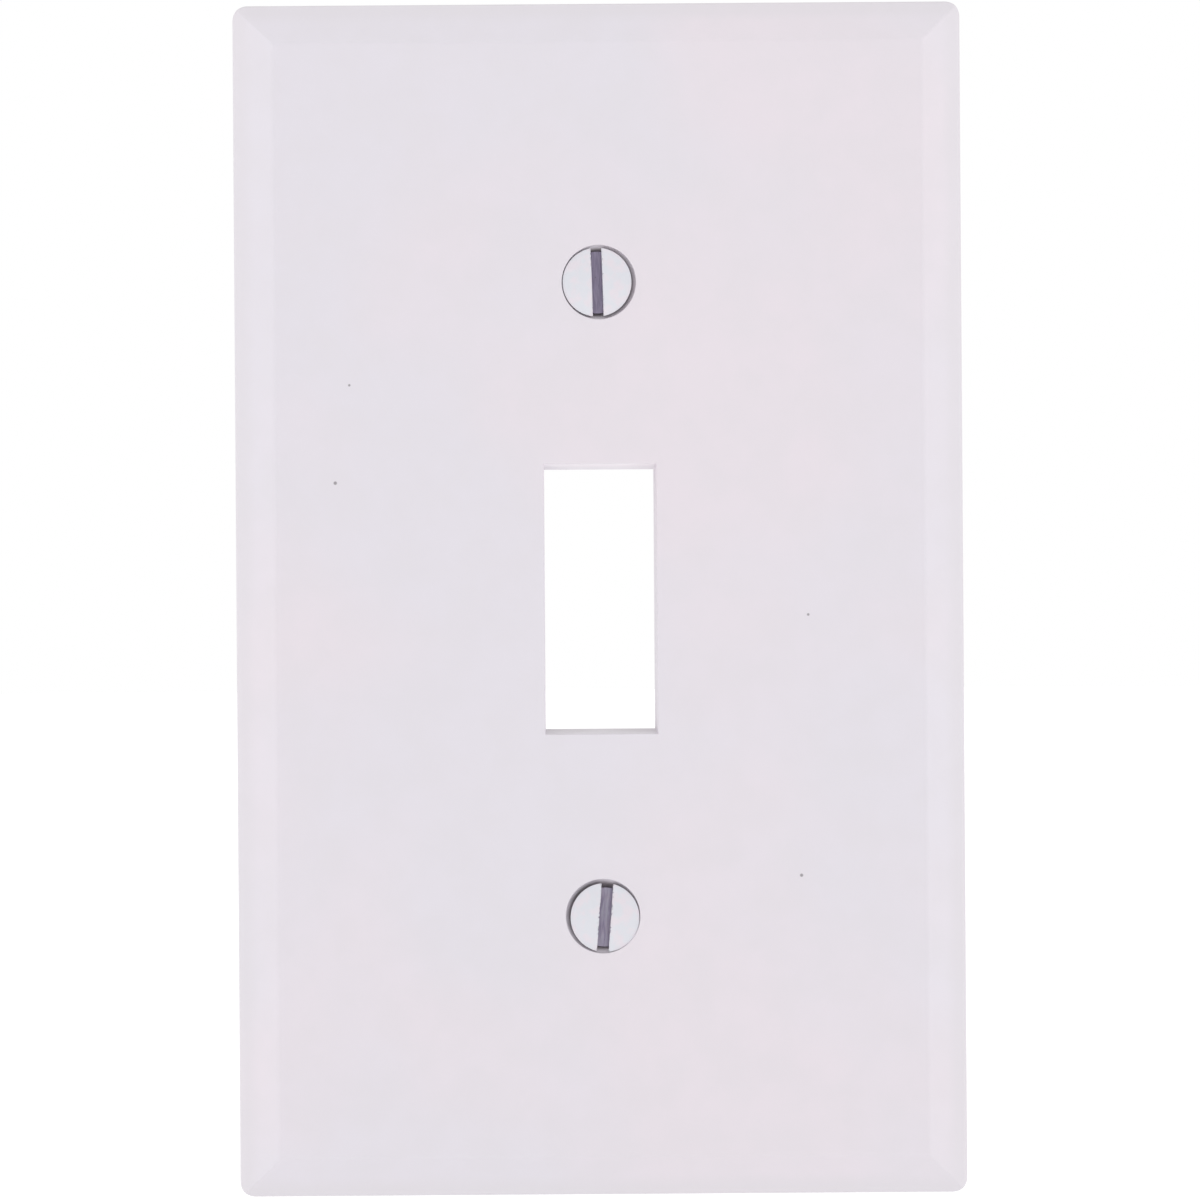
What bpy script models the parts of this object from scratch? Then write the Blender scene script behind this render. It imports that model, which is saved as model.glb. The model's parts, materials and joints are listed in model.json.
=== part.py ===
"""One-gang toggle-switch wall plate: the moulded cover and the two slotted screws that fasten it.

Metres, +Z up. The plate stands as it does on a wall. The origin is the centre of the toggle opening,
on the plane of the wall. The front faces -Y, and +X is on its right as seen from the front. A depth
is a distance in front of the wall plane. Turned shapes are drawn about their own Z axis, which is
then laid along -Y.
"""

import math

import bmesh
import bpy

# Cover plate
PLATE_SIZE = (0.06985, 0.1143)
PLATE_DEPTH = 0.0056
CORNER_RADIUS = 0.0015
CORNER_SEGMENTS = 6
SIDE_DRAFT = 0.00012  # how far each side wall leans in between the wall plane and the front
BAND_WIDTH = 0.00405  # the sloping band between the front panel and the side walls
BAND_DROP = 0.0026  # how far the band falls back from the front
CREASE_ROUNDING = 0.0003  # set back from the edge between the panel and the band
SHOULDER_ROUNDING = 0.0005  # set back from the edge between the band and the side walls
ROUNDING_SEGMENTS = 3

# Hollow back, which follows the band on the inside
SIDE_WALL = 0.0019
PANEL_THICKNESS = 0.0021
HOLLOW_BAND_WIDTH = 0.0027
HOLLOW_BAND_DROP = 0.0016

# Toggle opening, a little larger at the front than at the back
OPENING_FRONT = (0.0107, 0.0257)
OPENING_BACK = (0.0105, 0.02488)
COLLAR_WALL = 0.0014
SEAT_DEPTH = 0.0016  # where the collar and the bosses end, against the yoke of the switch

# Screw holes
SCREW_SPACING = 0.060325
BOSS_RADIUS = 0.00475
HOLE_RADIUS = 0.00215
SINK_RADIUS = 0.00355
SINK_LAND = 0.00045  # the short straight wall at the mouth of the countersink
SINK_SLOPE = math.tan(math.radians(41))  # of an 82 degree cone

# Rib that ties the end walls, the bosses and the collar together
RIB_WIDTH = 0.0016
RIB_DEPTH = 0.0025
RIB_END_INSET = 0.0023

# Screws: #6-32, oval head, slotted
HEAD_RADIUS = 0.003275
HEAD_RIM = 0.0001
HEAD_RECESS = 0.00015  # from the front of the plate back to the rim of the head
DOME_HEIGHT = 0.00055
DOME_STEPS = 4
SLOT_WIDTH = 0.00102
SLOT_DEPTH = 0.0006  # below the rim of the head
SCREW_LENGTH = 0.0127  # from the rim of the head to the point
NECK_RADIUS = 0.0015
NECK_LENGTH = 0.0004
CORE_RADIUS = 0.00129
POINT_RADIUS = 0.001
THREAD_PITCH = 0.00079375
THREAD_RADIUS = 0.00172
THREAD_CREST = 0.0001
THREAD_ROOT = 0.0002
THREAD_SINK = 0.00015  # how far the coil of the thread runs into the core
THREAD_TOP = 0.0015  # the thread starts this far below the rim, inside the cone of the head
THREAD_TURNS = 15
THREAD_STEPS = 20

# How each screw lies in its hole: shift to the right, shift up, and lean of the slot to the right
UPPER_LIE = (-0.00016, 0.0, math.radians(-1.6))
LOWER_LIE = (0.00018, -0.00015, math.radians(4.4))

ROUND_SEGMENTS = 40
REACH = 0.001  # how far a cutter runs past a wall
EMBED = 0.0006  # how far a joined shape runs into its neighbour
TRIM = 0.00003  # kept between surfaces that would otherwise coincide
ZERO = 0.000001
SMOOTH_ANGLE = math.radians(30)
# How squarely a face looks forward, from 0 on a side wall to 1 on the front panel
PANEL_FACING = 0.99
BAND_FACING = (0.5, 0.95)
WALL_FACING = 0.1
FORWARD = (math.pi / 2, 0, 0)  # lays the local Z axis along -Y

WHITE = (0.78, 0.76, 0.78)
PAINT = (0.80, 0.80, 0.80)
STEEL = (0.42, 0.41, 0.43)
SATIN = 0.35
DULL_METAL = 0.4


def clear_scene():
    for obj in list(bpy.data.objects):
        bpy.data.objects.remove(obj, do_unlink=True)


def new_collection(name):
    collection = bpy.data.collections.new(name)
    bpy.context.scene.collection.children.link(collection)
    return collection


def material(name, colour, roughness, metallic):
    made = bpy.data.materials.new(name)
    made.use_nodes = True
    shader = made.node_tree.nodes["Principled BSDF"]
    shader.inputs["Base Color"].default_value = (*colour, 1)
    shader.inputs["Roughness"].default_value = roughness
    shader.inputs["Metallic"].default_value = metallic
    return made


def add_object(name, mesh, collection):
    obj = bpy.data.objects.new(name, mesh)
    collection.objects.link(obj)
    return obj


def finished(name, bm, collection):
    """Makes an object of a bmesh, with its faces pointing out."""
    bmesh.ops.recalc_face_normals(bm, faces=bm.faces)
    mesh = bpy.data.meshes.new(name)
    bm.to_mesh(mesh)
    bm.free()
    return add_object(name, mesh, collection)


def baked_mesh(obj):
    """The object's mesh with its modifiers applied, as a new mesh. The object is removed."""
    graph = bpy.context.evaluated_depsgraph_get()
    mesh = bpy.data.meshes.new_from_object(obj.evaluated_get(graph))
    bpy.data.objects.remove(obj, do_unlink=True)
    return mesh


def smooth(mesh):
    mesh.shade_smooth()
    mesh.set_sharp_from_angle(angle=SMOOTH_ANGLE)


def boolean(obj, operation, other):
    other.hide_render = True
    other.display_type = "WIRE"
    modifier = obj.modifiers.new(f"{operation} {other.name}", "BOOLEAN")
    modifier.operation = operation
    modifier.solver = "EXACT"
    modifier.object = other


def block(back, front, back_size, front_size, reach=0.0):
    """A bmesh block from y = back to y = front, with its own width and height at each end.

    It runs on past both ends by reach, at the same taper.
    """
    share = reach / (back - front)
    bm = bmesh.new()
    bmesh.ops.create_cube(bm, size=1.0)
    for vert in bm.verts:
        at_front = vert.co.y < 0
        near, far = (front_size, back_size) if at_front else (back_size, front_size)
        width, height = (a + (a - b) * share for a, b in zip(near, far))
        end = front - reach if at_front else back + reach
        vert.co = (vert.co.x * width, end, vert.co.z * height)
    return bm


def inset(size, distance):
    return tuple(side - 2 * distance for side in size)


def banded_block(name, collection, size, back, front, band, drop):
    """A block whose front face is framed by a band that falls back by drop over its width."""
    bm = block(back, front + drop, size, size)
    face = min(bm.faces, key=lambda each: each.calc_center_median().y)
    bmesh.ops.inset_individual(
        bm,
        faces=[face],
        thickness=band,
        depth=drop,
        use_even_offset=True,
    )
    return finished(name, bm, collection)


def outline_block(collection):
    """The plate's outline as a long block, with round corners and sides that lean in."""
    bm = block(0, -PLATE_DEPTH, PLATE_SIZE, inset(PLATE_SIZE, SIDE_DRAFT), REACH)
    corners = [edge for edge in bm.edges if edge.verts[0].co.y * edge.verts[1].co.y < 0]
    bmesh.ops.bevel(
        bm,
        geom=corners,
        offset=CORNER_RADIUS,
        segments=CORNER_SEGMENTS,
        profile=0.5,
        affect="EDGES",
    )
    return finished("plate_outline", bm, collection)


def is_panel(face):
    return -face.normal.y > PANEL_FACING


def is_band(face):
    return BAND_FACING[0] < -face.normal.y < BAND_FACING[1]


def is_wall(face):
    return abs(face.normal.y) < WALL_FACING


def round_between(bm, first, second, setback):
    """Rounds each edge that has a face of the first kind on one side and the second on the other."""
    edges = [
        edge
        for edge in bm.edges
        if any(map(first, edge.link_faces)) and any(map(second, edge.link_faces))
    ]
    bmesh.ops.bevel(
        bm,
        geom=edges,
        offset=setback,
        segments=ROUNDING_SEGMENTS,
        profile=0.5,
        affect="EDGES",
    )
    bm.normal_update()


def plate_shell(cutters):
    """The outside of the cover plate, still solid. Its band is cut to the outline, then rounded."""
    slope = BAND_DROP / BAND_WIDTH
    whole = banded_block(
        "plate_block",
        cutters,
        inset(PLATE_SIZE, -REACH),
        0,
        -PLATE_DEPTH,
        BAND_WIDTH + REACH,
        BAND_DROP + REACH * slope,
    )
    boolean(whole, "INTERSECT", outline_block(cutters))
    mesh = baked_mesh(whole)
    bm = bmesh.new()
    bm.from_mesh(mesh)
    bm.normal_update()
    round_between(bm, is_panel, is_band, CREASE_ROUNDING)
    round_between(bm, is_wall, is_band, SHOULDER_ROUNDING)
    bm.to_mesh(mesh)
    bm.free()
    return mesh


def hollow(cutters):
    return banded_block(
        "back_hollow",
        cutters,
        inset(PLATE_SIZE, SIDE_WALL),
        REACH,
        PANEL_THICKNESS - PLATE_DEPTH,
        HOLLOW_BAND_WIDTH,
        HOLLOW_BAND_DROP,
    )


def panel_box(name, collection, depth, size):
    """A box from a depth behind the front panel to just inside the panel."""
    front = PANEL_THICKNESS - PLATE_DEPTH - EMBED
    return finished(name, block(-depth, front, size, size), collection)


def turned(name, collection, profile):
    """Turns (radius, height) points, listed from the top down, about the local Z axis."""
    mesh = bpy.data.meshes.new(name)
    points = [(radius, 0, height) for radius, height in profile]
    edges = [(i, i + 1) for i in range(len(points) - 1)]
    mesh.from_pydata(points, edges, [])
    obj = add_object(name, mesh, collection)
    turn = obj.modifiers.new("Turn", "SCREW")
    turn.steps = ROUND_SEGMENTS
    turn.render_steps = ROUND_SEGMENTS
    turn.use_merge_vertices = True
    turn.merge_threshold = ZERO
    return obj


def boss(name, cutters, z):
    length = PLATE_DEPTH - PANEL_THICKNESS + EMBED - SEAT_DEPTH
    profile = [(0, length), (BOSS_RADIUS, length), (BOSS_RADIUS, 0), (0, 0)]
    obj = turned(name, cutters, profile)
    obj.location = (0, -SEAT_DEPTH, z)
    obj.rotation_euler = FORWARD
    return obj


def sunk_hole(name, cutters, z):
    """A cutter for a countersunk hole, drawn from the front face of the plate."""
    cone = (SINK_RADIUS - HOLE_RADIUS) / SINK_SLOPE
    bottom = SEAT_DEPTH - PLATE_DEPTH - REACH
    profile = [
        (0, REACH),
        (SINK_RADIUS, REACH),
        (SINK_RADIUS, -SINK_LAND),
        (HOLE_RADIUS, -SINK_LAND - cone),
        (HOLE_RADIUS, bottom),
        (0, bottom),
    ]
    obj = turned(name, cutters, profile)
    obj.location = (0, -PLATE_DEPTH, z)
    obj.rotation_euler = FORWARD
    return obj


def cover_plate(parts, cutters):
    plate = add_object("plate_blank", plate_shell(cutters), cutters)
    boolean(plate, "DIFFERENCE", hollow(cutters))
    collar_size = inset(OPENING_FRONT, -COLLAR_WALL)
    boolean(plate, "UNION", panel_box("opening_collar", cutters, SEAT_DEPTH, collar_size))
    rib_size = (RIB_WIDTH, PLATE_SIZE[1] - 2 * RIB_END_INSET)
    boolean(plate, "UNION", panel_box("centre_rib", cutters, RIB_DEPTH, rib_size))
    for name, z in (("upper", SCREW_SPACING / 2), ("lower", -SCREW_SPACING / 2)):
        boolean(plate, "UNION", boss(f"{name}_boss", cutters, z))
        boolean(plate, "DIFFERENCE", sunk_hole(f"{name}_hole", cutters, z))
    opening = block(-SEAT_DEPTH, -PLATE_DEPTH, OPENING_BACK, OPENING_FRONT, REACH)
    boolean(plate, "DIFFERENCE", finished("toggle_opening", opening, cutters))
    mesh = baked_mesh(plate)
    mesh.name = "cover_plate"
    mesh.materials.clear()
    mesh.materials.append(material("cover_plate_white", WHITE, SATIN, 0))
    smooth(mesh)
    add_object("cover_plate", mesh, parts)


def dome_profile():
    """The domed top of the head, from its middle out to its rim."""
    radius = (HEAD_RADIUS**2 + DOME_HEIGHT**2) / (2 * DOME_HEIGHT)
    sweep = math.asin(HEAD_RADIUS / radius)
    angles = [sweep * step / DOME_STEPS for step in range(DOME_STEPS + 1)]
    return [
        (radius * math.sin(angle), DOME_HEIGHT - radius * (1 - math.cos(angle)))
        for angle in angles
    ]


def screw_blank(collection):
    """Head, neck and core, with a short 45 degree point."""
    cone_end = -HEAD_RIM - (HEAD_RADIUS - NECK_RADIUS) / SINK_SLOPE
    profile = dome_profile() + [
        (HEAD_RADIUS, -HEAD_RIM),
        (NECK_RADIUS, cone_end),
        (NECK_RADIUS, cone_end - NECK_LENGTH),
        (CORE_RADIUS, cone_end - NECK_LENGTH - (NECK_RADIUS - CORE_RADIUS)),
        (CORE_RADIUS, CORE_RADIUS - POINT_RADIUS - SCREW_LENGTH),
        (POINT_RADIUS, -SCREW_LENGTH),
        (0, -SCREW_LENGTH),
    ]
    return turned("screw_blank", collection, profile)


def thread_coil(collection):
    """The thread as a coil of 60 degree section, sunk into the core, with its two ends closed."""
    root = (THREAD_PITCH - THREAD_ROOT) / 2
    crest = THREAD_CREST / 2
    inner = CORE_RADIUS - THREAD_SINK
    start = -THREAD_TOP - THREAD_TURNS * THREAD_PITCH
    section = [
        (inner, root),
        (CORE_RADIUS, root),
        (THREAD_RADIUS, crest),
        (THREAD_RADIUS, -crest),
        (CORE_RADIUS, -root),
        (inner, -root),
    ]
    mesh = bpy.data.meshes.new("thread_coil")
    points = [(radius, 0, start + height) for radius, height in section]
    edges = [(i, (i + 1) % len(points)) for i in range(len(points))]
    mesh.from_pydata(points, edges, [])
    coil = add_object("thread_section", mesh, collection)
    turn = coil.modifiers.new("Turn", "SCREW")
    turn.steps = THREAD_STEPS
    turn.render_steps = THREAD_STEPS
    turn.screw_offset = THREAD_PITCH
    turn.iterations = THREAD_TURNS
    bm = bmesh.new()
    bm.from_mesh(baked_mesh(coil))
    bmesh.ops.holes_fill(bm, edges=[edge for edge in bm.edges if edge.is_boundary])
    return finished("thread_coil", bm, collection)


def thread_envelope(collection):
    """What the thread is cut back to: the 45 degree point, and a level inside the head."""
    outer = THREAD_RADIUS + REACH
    tip = TRIM - SCREW_LENGTH
    top = THREAD_PITCH - THREAD_TOP
    profile = [
        (0, top),
        (outer, top),
        (outer, tip + outer - POINT_RADIUS),
        (POINT_RADIUS, tip),
        (0, tip),
    ]
    return turned("thread_envelope", collection, profile)


def slot_cutter(collection):
    top = DOME_HEIGHT + REACH
    size = (SLOT_WIDTH, 2 * (HEAD_RADIUS + REACH), top + SLOT_DEPTH)
    bm = bmesh.new()
    bmesh.ops.create_cube(bm, size=1.0)
    bmesh.ops.scale(bm, verts=bm.verts, vec=size)
    bmesh.ops.translate(bm, verts=bm.verts, vec=(0, 0, (top - SLOT_DEPTH) / 2))
    return finished("slot_cutter", bm, collection)


def screw_mesh(cutters):
    """One screw about its local Z axis, with the rim of its head at the origin."""
    coil = thread_coil(cutters)
    boolean(coil, "INTERSECT", thread_envelope(cutters))
    blank = screw_blank(cutters)
    boolean(blank, "UNION", coil)
    boolean(blank, "DIFFERENCE", slot_cutter(cutters))
    mesh = baked_mesh(blank)
    mesh.name = "screw"
    mesh.materials.clear()
    mesh.materials.append(material("screw_steel", STEEL, DULL_METAL, 1))
    mesh.materials.append(material("screw_head_paint", PAINT, SATIN, 0))
    for face in mesh.polygons:
        face.material_index = int(face.center.z > -HEAD_RIM)
    smooth(mesh)
    return mesh


def place_screw(name, mesh, parts, z, lie):
    right, up, lean = lie
    screw = add_object(name, mesh, parts)
    screw.location = (right, HEAD_RECESS - PLATE_DEPTH, z + up)
    screw.rotation_euler = (FORWARD[0], lean, 0)


def main():
    clear_scene()
    parts = new_collection("wall_plate")
    cutters = new_collection("cutters")
    cover_plate(parts, cutters)
    screw = screw_mesh(cutters)
    place_screw("upper_screw", screw, parts, SCREW_SPACING / 2, UPPER_LIE)
    place_screw("lower_screw", screw, parts, -SCREW_SPACING / 2, LOWER_LIE)


main()
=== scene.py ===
"""Looks of the one-gang toggle wall plate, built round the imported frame.

Metres, +Z up, front facing -Y, as in the frame. The moulded plate and its two screws are each modelled
again with the fine shape that the frame's faceted solids leave out: rolled edges, filleted ribs and
bosses, ejector marks, a domed and painted screw head and a full thread. Each one rides on the body of
the node that it stands for, and keeps to that node's box. A screw is drawn about its own Z axis, which
is then laid along -Y.
"""

import json
import math

import bmesh
import bpy
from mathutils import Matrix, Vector

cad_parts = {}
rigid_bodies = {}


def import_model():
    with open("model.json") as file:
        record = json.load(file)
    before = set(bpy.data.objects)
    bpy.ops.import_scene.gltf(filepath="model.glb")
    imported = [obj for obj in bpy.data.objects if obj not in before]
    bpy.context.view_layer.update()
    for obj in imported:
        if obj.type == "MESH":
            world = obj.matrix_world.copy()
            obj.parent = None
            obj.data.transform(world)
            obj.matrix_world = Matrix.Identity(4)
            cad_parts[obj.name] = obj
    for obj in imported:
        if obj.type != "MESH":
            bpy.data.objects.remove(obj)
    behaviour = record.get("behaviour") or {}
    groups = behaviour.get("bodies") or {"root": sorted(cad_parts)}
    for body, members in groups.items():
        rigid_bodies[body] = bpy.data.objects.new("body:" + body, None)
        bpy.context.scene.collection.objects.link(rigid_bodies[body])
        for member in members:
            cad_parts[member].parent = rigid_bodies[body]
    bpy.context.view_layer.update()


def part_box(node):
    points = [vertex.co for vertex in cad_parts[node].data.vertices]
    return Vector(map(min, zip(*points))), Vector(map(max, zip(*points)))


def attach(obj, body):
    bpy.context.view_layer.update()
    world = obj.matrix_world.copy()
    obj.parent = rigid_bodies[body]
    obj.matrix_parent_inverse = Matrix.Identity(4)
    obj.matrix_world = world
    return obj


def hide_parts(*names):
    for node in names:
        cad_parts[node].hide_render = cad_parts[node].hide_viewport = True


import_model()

# Cover plate: its outside and its opening
CORNER_RADIUS = 0.0015
SIDE_DRAFT = 0.00012  # how far each side wall leans in between the wall plane and the front
BAND_WIDTH = 0.00405  # the sloping band between the front panel and the side walls
BAND_DROP = 0.0026
BAND_SLOPE = BAND_DROP / BAND_WIDTH
CREASE_ROUNDING = 0.0002  # set back from the panel's edge and from the mitres of the band
CREASE_BLEND = CREASE_ROUNDING * BAND_SLOPE
SHOULDER_ROUNDING = 0.0004  # set back from the edge between the band and the side walls
OPENING_FRONT = (0.0107, 0.0257)
OPENING_BACK = (0.0105, 0.02488)

# Cover plate: its hollow back
SIDE_WALL = 0.0019
PANEL_THICKNESS = 0.0021
HOLLOW_BAND_WIDTH = 0.0027
HOLLOW_BAND_DROP = 0.0016
HOLLOW_CORNER = 0.0008
COLLAR_WALL = 0.0014
SEAT_DEPTH = 0.0016  # depths are measured forward from the wall plane
RIB_WIDTH = 0.0016
RIB_DEPTH = 0.0025
RIB_END_INSET = 0.0023
BOSS_RADIUS = 0.00475
EJECTOR_RADIUS = 0.0018
EJECTOR_RECESS = 0.00015
EJECTOR_PLACES = ((0.026, 0.049), (0.026, 0.017), (0.0125, 0.033))  # in each quarter of the back

# Countersunk holes: their mouths are tighter round the screws than in the frame, whose solids keep clear
SCREW_SPACING = 0.060325
HOLE_RADIUS = 0.00215
SINK_RADIUS = 0.00352
SINK_LAND = 0.000485
SINK_SLOPE = math.tan(math.radians(82) / 2)

# How far the square edges of the moulding are rounded
FRONT_EDGE = 0.00012
RIM_EDGE = 0.00015
SEAT_EDGE = 0.00015
RIB_EDGE = 0.0002
RIB_FOOT = 0.0003

# Screws: #6-32, oval head, slotted
HEAD_RADIUS = 0.003275
HEAD_RIM = 0.0001
DOME_HEIGHT = 0.00055
SLOT_EDGE = 0.00006
SCREW_LENGTH = 0.0127  # from the rim of the head to the point
NECK_RADIUS = 0.0015
NECK_LENGTH = 0.0004
CORE_RADIUS = 0.00129
POINT_RADIUS = 0.001
THREAD_PITCH = 0.00079375
THREAD_RADIUS = 0.00172
THREAD_CREST = 0.0001
THREAD_ROOT = 0.0002
THREAD_SINK = 0.00015
THREAD_TOP = 0.0015  # from the rim of the head to the upper end of the coil
THREAD_TURNS = 15  # enough to run past the point
THREAD_PHASE = math.radians(2)  # where the coil starts, so that no corner of it meets one of the core
ENVELOPE_PHASE = math.radians(1)  # keeps the corners of the envelope off those of the coil

# Each screw: lean of its slot to the right, the slot's width and depth below the rim, and its paint:
# a seed for the noise, the level above which the noise chips the paint, and the mist left in the slot
SCREWS = {
    "upper_screw": (math.radians(-1.6), (0.00102, 0.00048), (3.0, 0.62, 0.03)),
    "lower_screw": (math.radians(4.4), (0.0011, 0.00063), (8.0, 0.54, 0.15)),
}

# Fineness
ROUND_STEPS = 96
THREAD_STEPS = 40
DOME_STEPS = 10
CORNER_STEPS = 24
INNER_CORNER = 0.0005  # least corner radius of a ring of the plate's mesh
EDGE_STEPS = 8
BAND_STEPS = 26
SMALL_EDGE_STEPS = 3
ROUND_PROFILE = 0.5  # of a bevel
REACH = 0.001  # how far a cutter runs past a wall
EMBED = 0.0006  # how far a joined shape runs into its neighbour
TRIM = 0.00003  # kept between surfaces that would otherwise coincide
ZERO = 0.000001
SMOOTH_ANGLE = math.radians(35)
SQUARE_ANGLE = math.radians(60)
FORWARD = math.pi / 2  # lays the local Z axis along -Y

# Camera: square to the plate, a little to its left, with the frame shifted back over the plate
CAMERA_DISTANCE = 0.35
CAMERA_LEFT = 0.0128
VIEW_HEIGHT = 0.115  # what the frame shows of the plane through the shoulders of the plate
CAMERA_ROLL = math.radians(0.4)

# Colours, linear
PLATE_COOL = (0.80, 0.765, 0.825, 1)
PLATE_WARM = (0.83, 0.765, 0.82, 1)
PLATE_DULL = (0.77, 0.735, 0.775, 1)
SPECK_COLOUR = (0.16, 0.14, 0.15, 1)
DUST = (0.62, 0.59, 0.61, 1)
# Painted shade in the countersinks and round the screws' heads, which also stands for rub and dirt
DIRT_AND_SHADE = (0.12, 0.09, 0.11, 1)
RUBBED_AND_SHADED = (0.48, 0.43, 0.46, 1)
PAINT_COOL = (0.76, 0.765, 0.82, 1)
PAINT_WARM = (0.81, 0.755, 0.81, 1)
STEEL_DARK = (0.22, 0.19, 0.27, 1)
STEEL_LIGHT = (0.33, 0.29, 0.40, 1)
STEEL_PIT = (0.05, 0.04, 0.05, 1)
ZINC_DARK = (0.36, 0.36, 0.38, 1)
ZINC_LIGHT = (0.58, 0.58, 0.61, 1)
FLOOR_PALE = (0.86, 0.86, 0.86, 1)
FLOOR_PALER = (0.9, 0.9, 0.9, 1)
WHITE = (1, 1, 1, 1)

# A Mix node names several sockets alike, so those that it uses for colours are picked by number
MIX_INPUTS = (0, 6, 7)
MIX_RESULT = 2

# Each noise: the size of its features, its detail, and how far it is drawn out along each axis
EVEN = (1, 1, 1)
NOISES = {
    "clouds": (0.03, 2, EVEN),
    "mottle": (0.004, 3, EVEN),
    "grain": (0.00035, 3, EVEN),
    "scuffs": (0.00012, 1, (60, 1, 9)),
    "ragged": (0.00022, 3, EVEN),
    "streaks": (0.00007, 3, (1, 18, 1)),
    "peel": (0.0004, 2, EVEN),
    "soil": (0.0011, 2, EVEN),
    "mist": (0.0003, 2, (1, 8, 1)),
    "floor": (0.2, 3, EVEN),
}

# Levels of a noise, from where it starts to act to where it acts fully
MOST_LEVELS = (0.3, 0.7)  # nearly all of a noise lies between these
CLOUD_LEVELS = (0.4, 0.65)
SCUFF_LEVELS = (0.68, 0.76)
STEEL_LEVELS = (0.35, 0.65)
PAINT_LEVELS = (0.4, 0.65)
PIT_LEVELS = (0.69, 0.73)

# Skin of the plate. Its relief is measured against the grain, which is 1 high.
MOTTLE_STRENGTH = 0.35
BACK_STRENGTH = 0.6
# The next two darken the countersinks: painted shade, with some rub and dirt
RUB_AND_SHADE_STRENGTH = 0.85
DIRT_AND_SHADE_STRENGTH = 0.35
SPECK_STRENGTH = 0.7
DUST_STRENGTH = (0.4, 0.7)
DUST_FACING = (0.7, 1)  # Z of the normal, from where dust starts to settle to where it settles fully
PLATE_ROUGHNESS = (0.36, 0.46)
GRAIN_ROUGHNESS = 0.03
SCUFF_ROUGHNESS = 0.12
BACK_ROUGHNESS = 0.12
SCUFF_SEED = 5.0
SCUFF_DEPTH = 0.4
MOTTLE_HEIGHT = 0.8
GRAIN_HEIGHT = 0.000006

# Dark specks in the front of the plate: right of the middle, above it, and radius
SPECKS = (
    (-0.0238, 0.0205, 0.00011),
    (-0.0252, 0.0112, 0.00016),
    (0.0197, -0.0016, 0.00012),
    (0.0189, -0.0264, 0.00015),
)
SPECK_BLUR = 0.00006
RUB_AND_SHADE_DEPTH = 0.0006  # how far below the front the countersinks start to grey, as rub from the heads and as painted shade
RUB_AND_SHADE_BLUR = 0.0006
DIRT_AND_SHADE_DEPTHS = (0.0011, 0.0015)  # from where the painted shade and dirt round the heads start to thin out to where they end

# Skin of the screws. Their relief is measured against the streaks of the bare steel, which are 1 high.
PAINT_DEPTH = 0.00038  # down the slot and the cone of the head, below the rim
PAINT_RAGGED = 0.00006
PAINT_BLUR = 0.00003
CHIP_SIZE = 0.001  # how far a chip reaches from the slot, for each unit of noise over its level
CHIP_BLUR = 0.00001
TARNISH_REACH = (-0.0012, -0.0008)  # up the screw, from clean zinc to the tarnished metal of the slot
PAINT_ROUGHNESS = (0.28, 0.4)
STEEL_ROUGHNESS = (0.38, 0.55)
PAINT_HEIGHT = (1.5, 2.5)
STREAK_HEIGHT = 0.00001

# Stage
FLOOR_DROP = 0.1  # from the bottom of the plate down to the floor
FLOOR_RADIUS = 6.0
FLOOR_ROUGHNESS = 0.9
# The floor's own glow is painted light, left out under the plate as a painted shadow
FLOOR_GLOW = 0.31
GLOW_REACH = (0.04, 0.21)  # from where the floor starts to glow to where its glow is full; no glow under the plate leaves a painted shadow
FILL_LEVEL = 0.61  # strength of the world's fill light from the horizon and below
FILL_OVERHEAD = 1.06
# Each softbox: where it hangs, how wide it is, and its power
SOFTBOXES = {
    "left_softbox": ((-1.0, -0.25, 0.1), 0.8, 1.0),
    "right_softbox": ((1.0, -0.25, 0.1), 0.8, 1.0),
}

plate_low, plate_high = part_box("cover_plate")
plate_depth = plate_high.y - plate_low.y
plate_size = (plate_high.x - plate_low.x, plate_high.z - plate_low.z)
front = plate_low.y
panel_back = front + PANEL_THICKNESS
workshop = bpy.data.collections.new("cutters")
bpy.context.scene.collection.children.link(workshop)


# Shapes


def add_object(name, mesh, collection=workshop):
    obj = bpy.data.objects.new(name, mesh)
    collection.objects.link(obj)
    return obj


def finished(name, bm):
    """Makes an object of a bmesh, with its faces pointing out."""
    bmesh.ops.recalc_face_normals(bm, faces=bm.faces)
    mesh = bpy.data.meshes.new(name)
    bm.to_mesh(mesh)
    bm.free()
    return add_object(name, mesh)


def baked_mesh(obj):
    """The object's mesh with its modifiers applied, as a new mesh. The object is removed."""
    graph = bpy.context.evaluated_depsgraph_get()
    mesh = bpy.data.meshes.new_from_object(obj.evaluated_get(graph))
    bpy.data.objects.remove(obj, do_unlink=True)
    return mesh


def boolean(obj, operation, *others):
    """Joins the others to the object, or cuts them from it, all in one step."""
    group = bpy.data.collections.new("operands")
    for other in others:
        group.objects.link(other)
    modifier = obj.modifiers.new(operation, "BOOLEAN")
    modifier.operation = operation
    modifier.solver = "EXACT"
    modifier.operand_type = "COLLECTION"
    modifier.collection = group


def show_piece(name, mesh, material, body, node, place=(0, 0, 0), turn=(0, 0, 0)):
    """A finished piece that stands for a CAD node, smooth but for its sharp edges."""
    mesh.name = name
    mesh.materials.clear()
    mesh.materials.append(material)
    mesh.shade_smooth()
    mesh.set_sharp_from_angle(angle=SMOOTH_ANGLE)
    piece = add_object(name, mesh, bpy.context.scene.collection)
    piece.location = place
    piece.rotation_euler = turn
    weighted = piece.modifiers.new("Weighted normals", "WEIGHTED_NORMAL")
    weighted.keep_sharp = True
    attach(piece, body)
    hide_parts(node)


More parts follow.
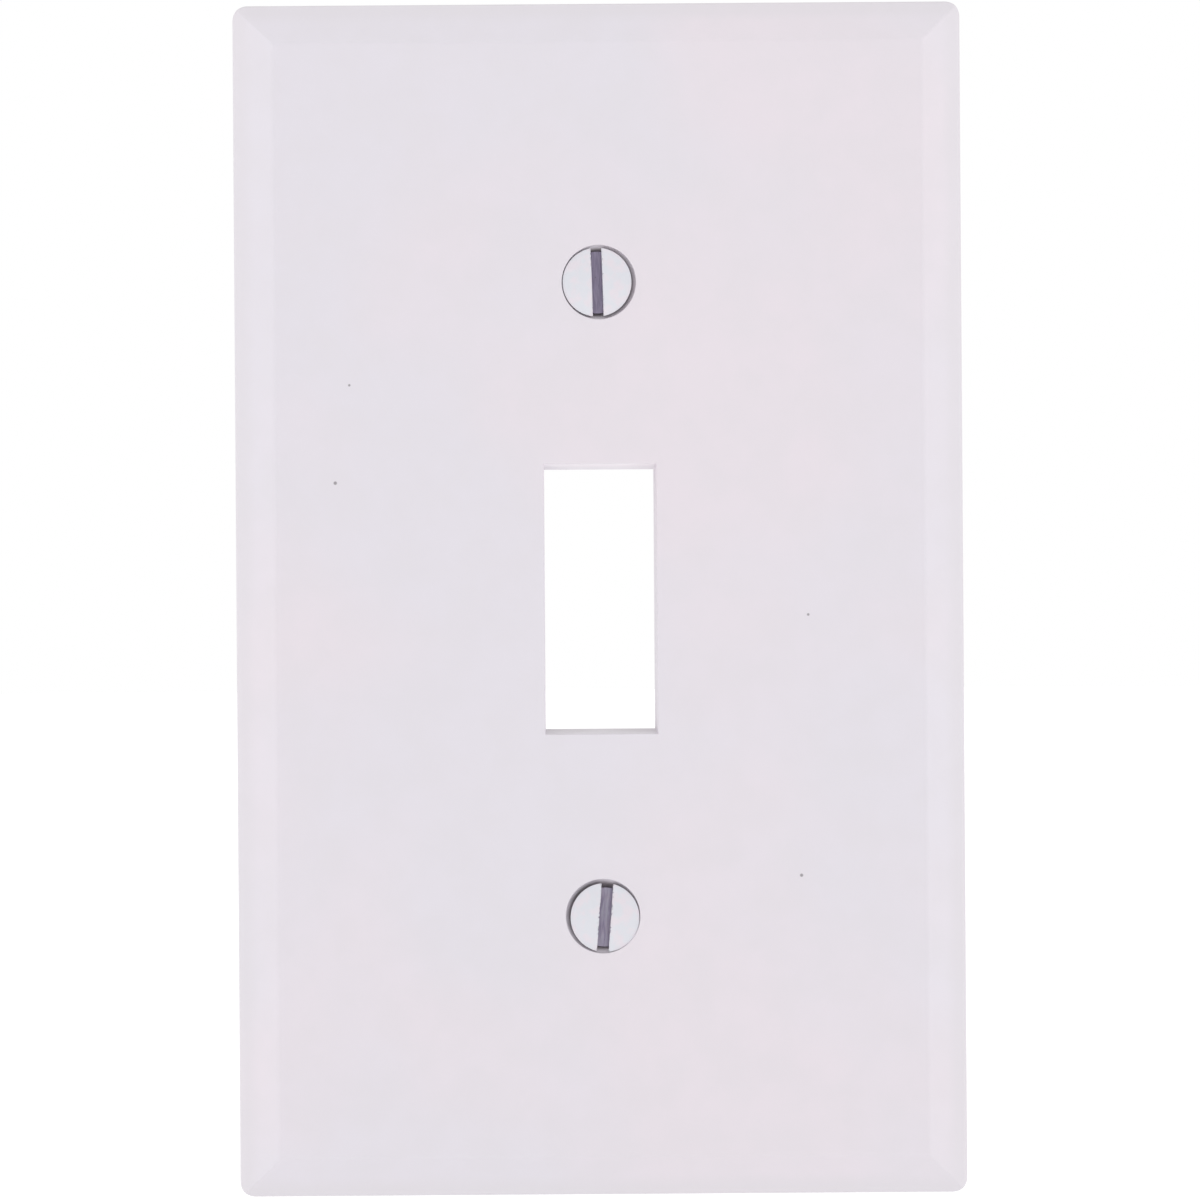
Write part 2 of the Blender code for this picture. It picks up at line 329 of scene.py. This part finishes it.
def block(back, near, back_size, near_size, reach=0.0):
    """A bmesh block from y = back to y = near, with its own width and height at each end.

    It runs on past both ends by reach, at the same taper.
    """
    share = reach / (back - near)
    bm = bmesh.new()
    bmesh.ops.create_cube(bm, size=1.0)
    for vert in bm.verts:
        at_front = vert.co.y < 0
        this, other = (near_size, back_size) if at_front else (back_size, near_size)
        width, height = (a + (a - b) * share for a, b in zip(this, other))
        end = near - reach if at_front else back + reach
        vert.co = (vert.co.x * width, end, vert.co.z * height)
    return bm


def inset(size, distance):
    return tuple(side - 2 * distance for side in size)


def weld(bm):
    """Closes the hairline seams that booleans leave, and takes out spare points along straight edges."""
    bmesh.ops.remove_doubles(bm, verts=bm.verts, dist=ZERO)
    spare = [vert for vert in bm.verts if len(vert.link_edges) == 2]
    bmesh.ops.dissolve_verts(bm, verts=spare)
    bm.normal_update()


def bevel(bm, edges, setback):
    bmesh.ops.bevel(
        bm,
        geom=edges,
        offset=setback,
        segments=SMALL_EDGE_STEPS,
        profile=ROUND_PROFILE,
        affect="EDGES",
    )
    bm.normal_update()


def upright_corners(bm):
    """The edges that join the two ends of a block."""
    return [edge for edge in bm.edges if abs(edge.verts[0].co.y - edge.verts[1].co.y) > REACH]


def back_hollow():
    """A cutter for the hollow back, whose front face is framed by a band that follows the outside."""
    size = inset(plate_size, SIDE_WALL)
    bm = block(REACH, panel_back + HOLLOW_BAND_DROP, size, size)
    face = min(bm.faces, key=lambda each: each.calc_center_median().y)
    bmesh.ops.inset_individual(
        bm,
        faces=[face],
        thickness=HOLLOW_BAND_WIDTH,
        depth=HOLLOW_BAND_DROP,
        use_even_offset=True,
    )
    bevel(bm, upright_corners(bm), HOLLOW_CORNER)
    return finished("back_hollow", bm)


def soft_min(a, b):
    """The lower of two heights, blended where they meet at the roll of a crease."""
    overlap = max(CREASE_BLEND - abs(a - b), 0)
    return min(a, b) - overlap**2 / (4 * CREASE_BLEND)


def band_height(x, z):
    """How far the front stands off the wall plane at (x, z), before its shoulders are rolled."""
    to_side, to_end = (side / 2 - abs(at) for side, at in zip(plate_size, (x, z)))
    lifts = [plate_depth - BAND_SLOPE * (BAND_WIDTH - distance) for distance in (to_side, to_end)]
    return soft_min(soft_min(*lifts), plate_depth)


def shoulder_arc():
    """(inset, drop) along the roll from the side wall, where the inset is 0, up to the band."""
    lean = math.atan(BAND_SLOPE)
    turn = math.pi / 2 - lean
    radius = SHOULDER_ROUNDING / math.tan(turn / 2)
    arc = []
    for step in range(EDGE_STEPS + 1):
        angle = math.pi / 2 - turn * step / EDGE_STEPS
        across = radius * (1 - math.sin(angle))
        arc.append((across, BAND_SLOPE * across + SHOULDER_ROUNDING - radius * math.cos(angle)))
    return arc


def ring(distance):
    """(x, z) points of a rectangle with round corners, inset by a distance from the plate's outline."""
    radius = max(CORNER_RADIUS - distance, INNER_CORNER)
    right, top = (side / 2 - distance - radius for side in plate_size)
    points = []
    corners = ((right, top), (-right, top), (-right, -top), (right, -top))
    for quarter, (centre_x, centre_z) in enumerate(corners):
        for step in range(CORNER_STEPS + 1):
            angle = (quarter + step / CORNER_STEPS) * math.pi / 2
            points.append((centre_x + radius * math.cos(angle), centre_z + radius * math.sin(angle)))
    return points


def plate_shell():
    """The outside of the plate, still solid, as rings from the wall plane up to the front panel."""
    rolled = shoulder_arc()
    band_start = rolled[-1][0]
    band_end = BAND_WIDTH + CREASE_ROUNDING
    steps = range(1, BAND_STEPS + 1)
    level = [(band_start + (band_end - band_start) * step / BAND_STEPS, 0) for step in steps]
    lean_in = SIDE_DRAFT * (1 - BAND_DROP / plate_depth)
    bm = bmesh.new()
    rings = [[bm.verts.new((x, plate_high.y, z)) for x, z in ring(0)]]
    for across, drop in rolled + level:
        points = ring(lean_in + across)
        rings.append([bm.verts.new((x, drop - band_height(x, z), z)) for x, z in points])
    for outer, inner in zip(rings, rings[1:]):
        for i in range(len(outer)):
            bm.faces.new((outer[i - 1], outer[i], inner[i], inner[i - 1]))
    for end in (rings[0], rings[-1]):
        bm.faces.new(end)
    return finished("plate_blank", bm)


def panel_box(name, depth, size):
    """A box from a depth in front of the wall plane to just inside the front panel."""
    return finished(name, block(-depth, panel_back - EMBED, size, size))


def turned(name, points, axis):
    """Turns a profile about an axis. Its points run from the top, or from the front, to the other end."""
    mesh = bpy.data.meshes.new(name)
    edges = [(i, i + 1) for i in range(len(points) - 1)]
    mesh.from_pydata(points, edges, [])
    obj = add_object(name, mesh)
    turn = obj.modifiers.new("Turn", "SCREW")
    turn.axis = axis
    turn.steps = ROUND_STEPS
    turn.render_steps = ROUND_STEPS
    turn.use_merge_vertices = True
    turn.merge_threshold = ZERO
    return obj


def turned_up(name, profile):
    """Turns (radius, height) points, listed from the top down, about the local Z axis."""
    return turned(name, [(radius, 0, height) for radius, height in profile], "Z")


def turned_forward(name, profile, x, z):
    """Turns (radius, y) points, listed from the front back, about the line through (x, z) along Y."""
    obj = turned(name, [(radius, y, 0) for radius, y in profile], "Y")
    obj.modifiers["Turn"].use_normal_flip = True
    obj.location = (x, 0, z)
    return obj


def boss(name, x, z):
    near = panel_back - EMBED
    profile = [(0, near), (BOSS_RADIUS, near), (BOSS_RADIUS, -SEAT_DEPTH), (0, -SEAT_DEPTH)]
    return turned_forward(name, profile, x, z)


def sunk_hole(name, x, z):
    land_end = front + SINK_LAND
    cone_end = land_end + (SINK_RADIUS - HOLE_RADIUS) / SINK_SLOPE
    far = REACH - SEAT_DEPTH
    profile = [
        (0, front - REACH),
        (SINK_RADIUS, front - REACH),
        (SINK_RADIUS, land_end),
        (HOLE_RADIUS, cone_end),
        (HOLE_RADIUS, far),
        (0, far),
    ]
    return turned_forward(name, profile, x, z)


def ejector_mark(name, x, z):
    """A cutter for the shallow round mark that an ejector pin leaves on the back of the panel."""
    near = panel_back - EJECTOR_RECESS
    far = panel_back + REACH
    profile = [(0, near), (EJECTOR_RADIUS, near), (EJECTOR_RADIUS, far), (0, far)]
    return turned_forward(name, profile, x, z)


def round_level(bm, level, setback, outward=True):
    """Rounds the square edges that lie at y = level, either the outward or the inward ones."""
    edges = [
        edge
        for edge in bm.edges
        if all(abs(vert.co.y - level) < ZERO for vert in edge.verts)
        and edge.calc_face_angle() > SQUARE_ANGLE
        and edge.is_convex == outward
    ]
    bevel(bm, edges, setback)


def cover_plate(material):
    """The plate: its shell is hollowed, gets its collar, rib and bosses, is cut through, and is rounded."""
    rib_size = (RIB_WIDTH, plate_size[1] - 2 * RIB_END_INSET)
    posts = [
        panel_box("opening_collar", SEAT_DEPTH, inset(OPENING_FRONT, -COLLAR_WALL)),
        panel_box("centre_rib", RIB_DEPTH, rib_size),
    ]
    opening = block(-SEAT_DEPTH, front, OPENING_BACK, OPENING_FRONT, REACH)
    cutters = [finished("toggle_opening", opening)]
    for z in (SCREW_SPACING / 2, -SCREW_SPACING / 2):
        posts.append(boss("boss", 0, z))
        cutters.append(sunk_hole("sunk_hole", 0, z))
    for x, z in EJECTOR_PLACES:
        for side in (-1, 1):
            for end in (-1, 1):
                cutters.append(ejector_mark("ejector_mark", side * x, end * z))
    plate = plate_shell()
    boolean(plate, "DIFFERENCE", back_hollow())
    boolean(plate, "UNION", *posts)
    boolean(plate, "DIFFERENCE", *cutters)
    mesh = baked_mesh(plate)
    bm = bmesh.new()
    bm.from_mesh(mesh)
    weld(bm)
    round_level(bm, front, FRONT_EDGE)
    round_level(bm, plate_high.y, RIM_EDGE)
    round_level(bm, -SEAT_DEPTH, SEAT_EDGE)
    round_level(bm, -RIB_DEPTH, RIB_EDGE)
    round_level(bm, panel_back, RIB_FOOT, outward=False)
    weld(bm)
    bm.to_mesh(mesh)
    bm.free()
    show_piece("moulded_plate", mesh, material, "plate", "cover_plate")


def dome_profile():
    """The domed top of the head, from its middle out to its rim."""
    radius = (HEAD_RADIUS**2 + DOME_HEIGHT**2) / (2 * DOME_HEIGHT)
    sweep = math.asin(HEAD_RADIUS / radius)
    angles = [sweep * step / DOME_STEPS for step in range(DOME_STEPS + 1)]
    return [
        (radius * math.sin(angle), DOME_HEIGHT - radius * (1 - math.cos(angle)))
        for angle in angles
    ]


def screw_blank():
    """Head, neck and core, with a short 45 degree point."""
    cone_end = -HEAD_RIM - (HEAD_RADIUS - NECK_RADIUS) / SINK_SLOPE
    profile = dome_profile() + [
        (HEAD_RADIUS, -HEAD_RIM),
        (NECK_RADIUS, cone_end),
        (NECK_RADIUS, cone_end - NECK_LENGTH),
        (CORE_RADIUS, cone_end - NECK_LENGTH - (NECK_RADIUS - CORE_RADIUS)),
        (CORE_RADIUS, CORE_RADIUS - POINT_RADIUS - SCREW_LENGTH),
        (POINT_RADIUS, -SCREW_LENGTH),
        (0, -SCREW_LENGTH),
    ]
    return turned_up("screw_blank", profile)


def thread_coil():
    """The thread as a coil of 60 degree section, sunk into the core, with its two ends closed."""
    root = (THREAD_PITCH - THREAD_ROOT) / 2
    crest = THREAD_CREST / 2
    flank = (root - crest) / (THREAD_RADIUS - CORE_RADIUS)
    inner = CORE_RADIUS - THREAD_SINK
    foot = root + flank * THREAD_SINK
    start = -THREAD_TOP - THREAD_TURNS * THREAD_PITCH
    section = [(inner, foot), (THREAD_RADIUS, crest), (THREAD_RADIUS, -crest), (inner, -foot)]
    mesh = bpy.data.meshes.new("thread_coil")
    across, along = math.cos(THREAD_PHASE), math.sin(THREAD_PHASE)
    points = [(radius * across, radius * along, start + height) for radius, height in section]
    edges = [(i, (i + 1) % len(points)) for i in range(len(points))]
    mesh.from_pydata(points, edges, [])
    coil = add_object("thread_section", mesh)
    turn = coil.modifiers.new("Turn", "SCREW")
    turn.steps = THREAD_STEPS
    turn.render_steps = THREAD_STEPS
    turn.screw_offset = THREAD_PITCH
    turn.iterations = THREAD_TURNS
    bm = bmesh.new()
    bm.from_mesh(baked_mesh(coil))
    bmesh.ops.holes_fill(bm, edges=[edge for edge in bm.edges if edge.is_boundary])
    return finished("thread_coil", bm)


def thread_envelope():
    """What the thread is cut back to: the 45 degree point, and a level inside the head."""
    outer = THREAD_RADIUS + REACH
    tip = TRIM - SCREW_LENGTH
    top = THREAD_PITCH - THREAD_TOP
    profile = [
        (0, top),
        (outer, top),
        (outer, tip + outer - POINT_RADIUS),
        (POINT_RADIUS, tip),
        (0, tip),
    ]
    envelope = turned_up("thread_envelope", profile)
    envelope.rotation_euler.z = ENVELOPE_PHASE
    return envelope


def slot_cutter(width, depth):
    top = DOME_HEIGHT + REACH
    size = (width, 2 * (HEAD_RADIUS + REACH), top + depth)
    bm = bmesh.new()
    bmesh.ops.create_cube(bm, size=1.0)
    bmesh.ops.scale(bm, verts=bm.verts, vec=size)
    bmesh.ops.translate(bm, verts=bm.verts, vec=(0, 0, (top - depth) / 2))
    return finished("slot_cutter", bm)


def round_slot(mesh, width):
    """Rounds the two long edges of the slot, as the paint does."""
    bm = bmesh.new()
    bm.from_mesh(mesh)
    weld(bm)
    edges = [
        edge
        for edge in bm.edges
        if all(abs(abs(vert.co.x) - width / 2) < ZERO for vert in edge.verts)
        and all(vert.co.z > -ZERO for vert in edge.verts)
        and edge.calc_face_angle() > SQUARE_ANGLE
    ]
    bevel(bm, edges, SLOT_EDGE)
    weld(bm)
    bm.to_mesh(mesh)
    bm.free()


def screw(node, lean, slot, material):
    """One screw about its local Z axis, with the rim of its head at the origin, put in its place."""
    coil = thread_coil()
    boolean(coil, "INTERSECT", thread_envelope())
    blank = screw_blank()
    boolean(blank, "UNION", coil)
    boolean(blank, "DIFFERENCE", slot_cutter(*slot))
    mesh = baked_mesh(blank)
    round_slot(mesh, slot[0])
    low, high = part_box(node)
    place = ((low.x + high.x) / 2, high.y - SCREW_LENGTH, (low.z + high.z) / 2)
    turn = (FORWARD, lean, 0)
    show_piece(f"machine_{node}", mesh, material, node, node, place, turn)


# Materials


def connect(tree, socket, value):
    """Links a socket into an input, or sets the input to a value."""
    if isinstance(value, bpy.types.NodeSocket):
        tree.links.new(value, socket)
    else:
        socket.default_value = value


def add_node(tree, kind, inputs, **settings):
    node = tree.nodes.new(kind)
    for name, value in settings.items():
        setattr(node, name, value)
    for name, value in inputs.items():
        connect(tree, node.inputs[name], value)
    return node


def calculate(tree, operation, *values):
    node = tree.nodes.new("ShaderNodeMath")
    node.operation = operation
    for socket, value in zip(node.inputs, values):
        connect(tree, socket, value)
    return node.outputs["Value"]


def ramp(tree, value, start, end, first=0.0, last=1.0):
    """Goes smoothly from first to last while the value goes from start to end, and is level outside."""
    inputs = {"Value": value, "From Min": start, "From Max": end, "To Min": first, "To Max": last}
    return add_node(tree, "ShaderNodeMapRange", inputs, interpolation_type="SMOOTHSTEP").outputs["Result"]


def blend(tree, share, first, second):
    """A colour that goes from the first to the second with the share."""
    node = tree.nodes.new("ShaderNodeMix")
    node.data_type = "RGBA"
    for number, value in zip(MIX_INPUTS, (share, first, second)):
        connect(tree, node.inputs[number], value)
    return node.outputs[MIX_RESULT]


def noise(tree, place, kind, seed=0.0):
    """One of the noises listed at the top, drawn out along an axis where its stretch is over 1."""
    size, detail, stretch = NOISES[kind]
    scale = [1 / (size * each) for each in stretch]
    scaled = add_node(tree, "ShaderNodeMapping", {"Vector": place, "Scale": scale}).outputs["Vector"]
    inputs = {"Vector": scaled, "W": seed, "Scale": 1.0, "Detail": detail}
    return add_node(tree, "ShaderNodeTexNoise", inputs, noise_dimensions="4D").outputs["Fac"]


def bump(tree, height, unit):
    """A normal for a relief whose height is given in the unit."""
    inputs = {"Height": height, "Distance": unit, "Strength": 1}
    return add_node(tree, "ShaderNodeBump", inputs).outputs["Normal"]


def new_material(name):
    """A material, its node tree, its shader, and the place on the object as a socket."""
    material = bpy.data.materials.new(name)
    material.use_nodes = True
    tree = material.node_tree
    place = add_node(tree, "ShaderNodeTexCoord", {}).outputs["Object"]
    return material, tree, tree.nodes["Principled BSDF"], place


def speck_cover(tree, place):
    """1 inside each of the dark specks in the front of the plate, and 0 elsewhere."""
    nearest = 1.0
    for x, z, radius in SPECKS:
        distance = add_node(tree, "ShaderNodeVectorMath", {}, operation="DISTANCE")
        connect(tree, distance.inputs[0], place)
        connect(tree, distance.inputs[1], (x, front, z))
        outside = calculate(tree, "SUBTRACT", distance.outputs["Value"], radius)
        nearest = calculate(tree, "MINIMUM", nearest, outside)
    return ramp(tree, nearest, -SPECK_BLUR, SPECK_BLUR, 1, 0)


def rub_and_painted_shade(tree, place):
    """Two shares: the countersinks, greyed by rub and painted shade, and a ring of painted shade and dirt
    round the heads.
    """
    axes = add_node(tree, "ShaderNodeSeparateXYZ", {"Vector": place})
    depth = axes.outputs["Y"]
    across = axes.outputs["X"]
    along = calculate(tree, "SUBTRACT", calculate(tree, "ABSOLUTE", axes.outputs["Z"]), SCREW_SPACING / 2)
    squares = [calculate(tree, "MULTIPLY", each, each) for each in (across, along)]
    radius = calculate(tree, "SQRT", calculate(tree, "ADD", *squares))
    near = ramp(tree, radius, SINK_RADIUS, SINK_RADIUS + RUB_AND_SHADE_BLUR, 1, 0)
    below_mouth = ramp(tree, depth, front + RUB_AND_SHADE_DEPTH, front + DIRT_AND_SHADE_DEPTHS[0])
    above_seat = ramp(tree, depth, -SEAT_DEPTH - RUB_AND_SHADE_BLUR, -SEAT_DEPTH - SEAT_EDGE, 1, 0)
    rubbed_and_shaded = calculate(tree, "MULTIPLY", near, calculate(tree, "MULTIPLY", below_mouth, above_seat))
    above_cone = ramp(tree, depth, *(front + each for each in DIRT_AND_SHADE_DEPTHS), 1, 0)
    return rubbed_and_shaded, calculate(tree, "MULTIPLY", rubbed_and_shaded, above_cone)


def plate_plastic():
    """White thermoset: faint clouds of tint, a satin skin with a fine grain, hairline scuffs, specks, and
    painted shade with some rub and dirt in the countersinks.
    """
    material, tree, shader, place = new_material("white_thermoset")
    depth = add_node(tree, "ShaderNodeSeparateXYZ", {"Vector": place}).outputs["Y"]
    at_back = ramp(tree, depth, panel_back - REACH, panel_back)
    clouds = ramp(tree, noise(tree, place, "clouds"), *CLOUD_LEVELS)
    mottle = ramp(tree, noise(tree, place, "mottle"), *MOST_LEVELS)
    grain = noise(tree, place, "grain")
    scuffs = ramp(tree, noise(tree, place, "scuffs", SCUFF_SEED), *SCUFF_LEVELS)
    normal = add_node(tree, "ShaderNodeTexCoord", {}).outputs["Normal"]
    upward = add_node(tree, "ShaderNodeSeparateXYZ", {"Vector": normal}).outputs["Z"]
    settled = ramp(tree, upward, *DUST_FACING)
    dusty = calculate(tree, "MULTIPLY", settled, ramp(tree, mottle, 0, 1, *DUST_STRENGTH))
    rubbed_and_shaded, dirty_and_shaded = rub_and_painted_shade(tree, place)

    colour = blend(tree, clouds, PLATE_COOL, PLATE_WARM)
    layers = (
        (mottle, MOTTLE_STRENGTH, PLATE_DULL),
        (at_back, BACK_STRENGTH, PLATE_DULL),
        (dusty, 1, DUST),
        # painted shade in the countersinks and round the heads, partly rub and dirt
        (rubbed_and_shaded, RUB_AND_SHADE_STRENGTH, RUBBED_AND_SHADED),
        # painted shade in the gap round the heads, with some dirt
        (dirty_and_shaded, DIRT_AND_SHADE_STRENGTH, DIRT_AND_SHADE),
        (speck_cover(tree, place), SPECK_STRENGTH, SPECK_COLOUR),
    )
    for cover, strength, layer in layers:
        colour = blend(tree, calculate(tree, "MULTIPLY", cover, strength), colour, layer)
    connect(tree, shader.inputs["Base Color"], colour)

    roughness = ramp(tree, mottle, 0, 1, *PLATE_ROUGHNESS)
    grained = ramp(tree, grain, *MOST_LEVELS, -GRAIN_ROUGHNESS, GRAIN_ROUGHNESS)
    roughness = calculate(tree, "ADD", roughness, grained)
    roughness = calculate(tree, "MULTIPLY_ADD", scuffs, SCUFF_ROUGHNESS, roughness)
    roughness = calculate(tree, "MULTIPLY_ADD", at_back, BACK_ROUGHNESS, roughness)
    connect(tree, shader.inputs["Roughness"], roughness)
    relief = calculate(tree, "MULTIPLY_ADD", scuffs, -SCUFF_DEPTH, grain)
    relief = calculate(tree, "MULTIPLY_ADD", mottle, MOTTLE_HEIGHT, relief)
    connect(tree, shader.inputs["Normal"], bump(tree, relief, GRAIN_HEIGHT))
    return material


def painted_steel(name, slot_width, seed, chip_start, mist):
    """Zinc-plated steel under white paint, bare in the slot, where it is tarnished, and under the head.

    Works in the screw's own axes: Z out along the shank, and Y along the slot.
    """
    material, tree, shader, place = new_material(name)
    axes = add_node(tree, "ShaderNodeSeparateXYZ", {"Vector": place})
    kinds = ("ragged", "streaks", "peel", "soil", "mist")
    ragged, streaks, peel, soil, misted = (noise(tree, place, kind, seed) for kind in kinds)

    raggedness = ramp(tree, ragged, *MOST_LEVELS, -PAINT_RAGGED, PAINT_RAGGED)
    level = calculate(tree, "ADD", axes.outputs["Z"], raggedness)
    painted = ramp(tree, level, -PAINT_DEPTH - PAINT_BLUR, -PAINT_DEPTH + PAINT_BLUR)
    from_slot = calculate(tree, "SUBTRACT", calculate(tree, "ABSOLUTE", axes.outputs["X"]), slot_width / 2)
    chip_reach = calculate(tree, "MULTIPLY", calculate(tree, "SUBTRACT", ragged, chip_start), CHIP_SIZE)
    inside_chip = calculate(tree, "SUBTRACT", chip_reach, from_slot)
    unchipped = ramp(tree, inside_chip, -CHIP_BLUR, CHIP_BLUR, 1, 0)
    painted = calculate(tree, "MULTIPLY", painted, unchipped)

    tarnished = blend(tree, ramp(tree, streaks, *STEEL_LEVELS), STEEL_DARK, STEEL_LIGHT)
    zinc = blend(tree, ramp(tree, soil, *STEEL_LEVELS), ZINC_DARK, ZINC_LIGHT)
    steel = blend(tree, ramp(tree, axes.outputs["Z"], *TARNISH_REACH), zinc, tarnished)
    paint = blend(tree, ramp(tree, soil, *PAINT_LEVELS), PAINT_COOL, PAINT_WARM)
    steel = blend(tree, ramp(tree, misted, *MOST_LEVELS, 0, 2 * mist), steel, paint)
    steel = blend(tree, ramp(tree, ragged, *PIT_LEVELS), steel, STEEL_PIT)
    bare = calculate(tree, "SUBTRACT", 1, painted)
    connect(tree, shader.inputs["Base Color"], blend(tree, painted, steel, paint))
    connect(tree, shader.inputs["Metallic"], bare)

    smooth_paint = ramp(tree, soil, *MOST_LEVELS, *PAINT_ROUGHNESS)
    rough_steel = ramp(tree, streaks, *MOST_LEVELS, *STEEL_ROUGHNESS)
    smoother = calculate(tree, "SUBTRACT", smooth_paint, rough_steel)
    roughness = calculate(tree, "MULTIPLY_ADD", painted, smoother, rough_steel)
    connect(tree, shader.inputs["Roughness"], roughness)
    coat = calculate(tree, "MULTIPLY", painted, ramp(tree, peel, 0, 1, *PAINT_HEIGHT))
    relief = calculate(tree, "MULTIPLY_ADD", streaks, bare, coat)
    connect(tree, shader.inputs["Normal"], bump(tree, relief, STREAK_HEIGHT))
    return material


# Stage


def camera():
    data = bpy.data.cameras.new("camera")
    data.lens = data.sensor_width * CAMERA_DISTANCE / VIEW_HEIGHT
    data.shift_x = CAMERA_LEFT / VIEW_HEIGHT
    obj = bpy.data.objects.new("camera", data)
    bpy.context.scene.collection.objects.link(obj)
    obj.location = (-CAMERA_LEFT, front + BAND_DROP - CAMERA_DISTANCE, 0)
    obj.rotation_euler = (FORWARD, CAMERA_ROLL, 0)
    bpy.context.scene.camera = obj


def floor():
    """A plain pale floor with a painted glow, which grows away from the plate until it runs into the
    backdrop; its dim patch under the plate is a painted shadow.
    """
    bm = bmesh.new()
    bmesh.ops.create_circle(bm, cap_ends=True, radius=FLOOR_RADIUS, segments=ROUND_STEPS)
    mesh = bpy.data.meshes.new("floor")
    bm.to_mesh(mesh)
    bm.free()
    obj = add_object("floor", mesh, bpy.context.scene.collection)
    obj.location.z = plate_low.z - FLOOR_DROP
    material, tree, shader, place = new_material("pale_floor")
    shade = ramp(tree, noise(tree, place, "floor"), *MOST_LEVELS)
    connect(tree, shader.inputs["Base Color"], blend(tree, shade, FLOOR_PALE, FLOOR_PALER))
    shader.inputs["Roughness"].default_value = FLOOR_ROUGHNESS
    away = add_node(tree, "ShaderNodeVectorMath", {"Vector": place}, operation="LENGTH").outputs["Value"]
    shader.inputs["Emission Color"].default_value = WHITE
    # the floor's painted glow, left out under the plate as a painted shadow
    connect(tree, shader.inputs["Emission Strength"], ramp(tree, away, *GLOW_REACH, 0, FLOOR_GLOW))
    mesh.materials.append(material)


def backdrop():
    """A world that is white to look at, and a fill light for the object that grows overhead."""
    made = bpy.data.worlds.new("studio")
    made.use_nodes = True
    tree = made.node_tree
    direction = add_node(tree, "ShaderNodeTexCoord", {}).outputs["Generated"]
    upward = add_node(tree, "ShaderNodeSeparateXYZ", {"Vector": direction}).outputs["Z"]
    fill = ramp(tree, upward, 0, 1, FILL_LEVEL, FILL_OVERHEAD)
    seen = add_node(tree, "ShaderNodeLightPath", {}).outputs["Is Camera Ray"]
    strength = ramp(tree, seen, 0, 1, fill, 1)
    connect(tree, tree.nodes["Background"].inputs["Color"], WHITE)
    connect(tree, tree.nodes["Background"].inputs["Strength"], strength)
    bpy.context.scene.world = made


def softbox(name, place, size, power):
    """A square area light that faces the middle of the plate."""
    data = bpy.data.lights.new(name, "AREA")
    data.size = size
    data.energy = power
    obj = bpy.data.objects.new(name, data)
    bpy.context.scene.collection.objects.link(obj)
    obj.location = place
    obj.rotation_euler = (-Vector(place)).to_track_quat("-Z", "Y").to_euler()


camera()
floor()
backdrop()
for name, (place, size, power) in SOFTBOXES.items():
    softbox(name, place, size, power)
bpy.context.scene.view_settings.view_transform = "Standard"

for node, (lean, slot, finish) in SCREWS.items():
    screw(node, lean, slot, painted_steel(f"painted_{node}", slot[0], *finish))
cover_plate(plate_plastic())
for leftover in list(workshop.objects):
    bpy.data.objects.remove(leftover, do_unlink=True)
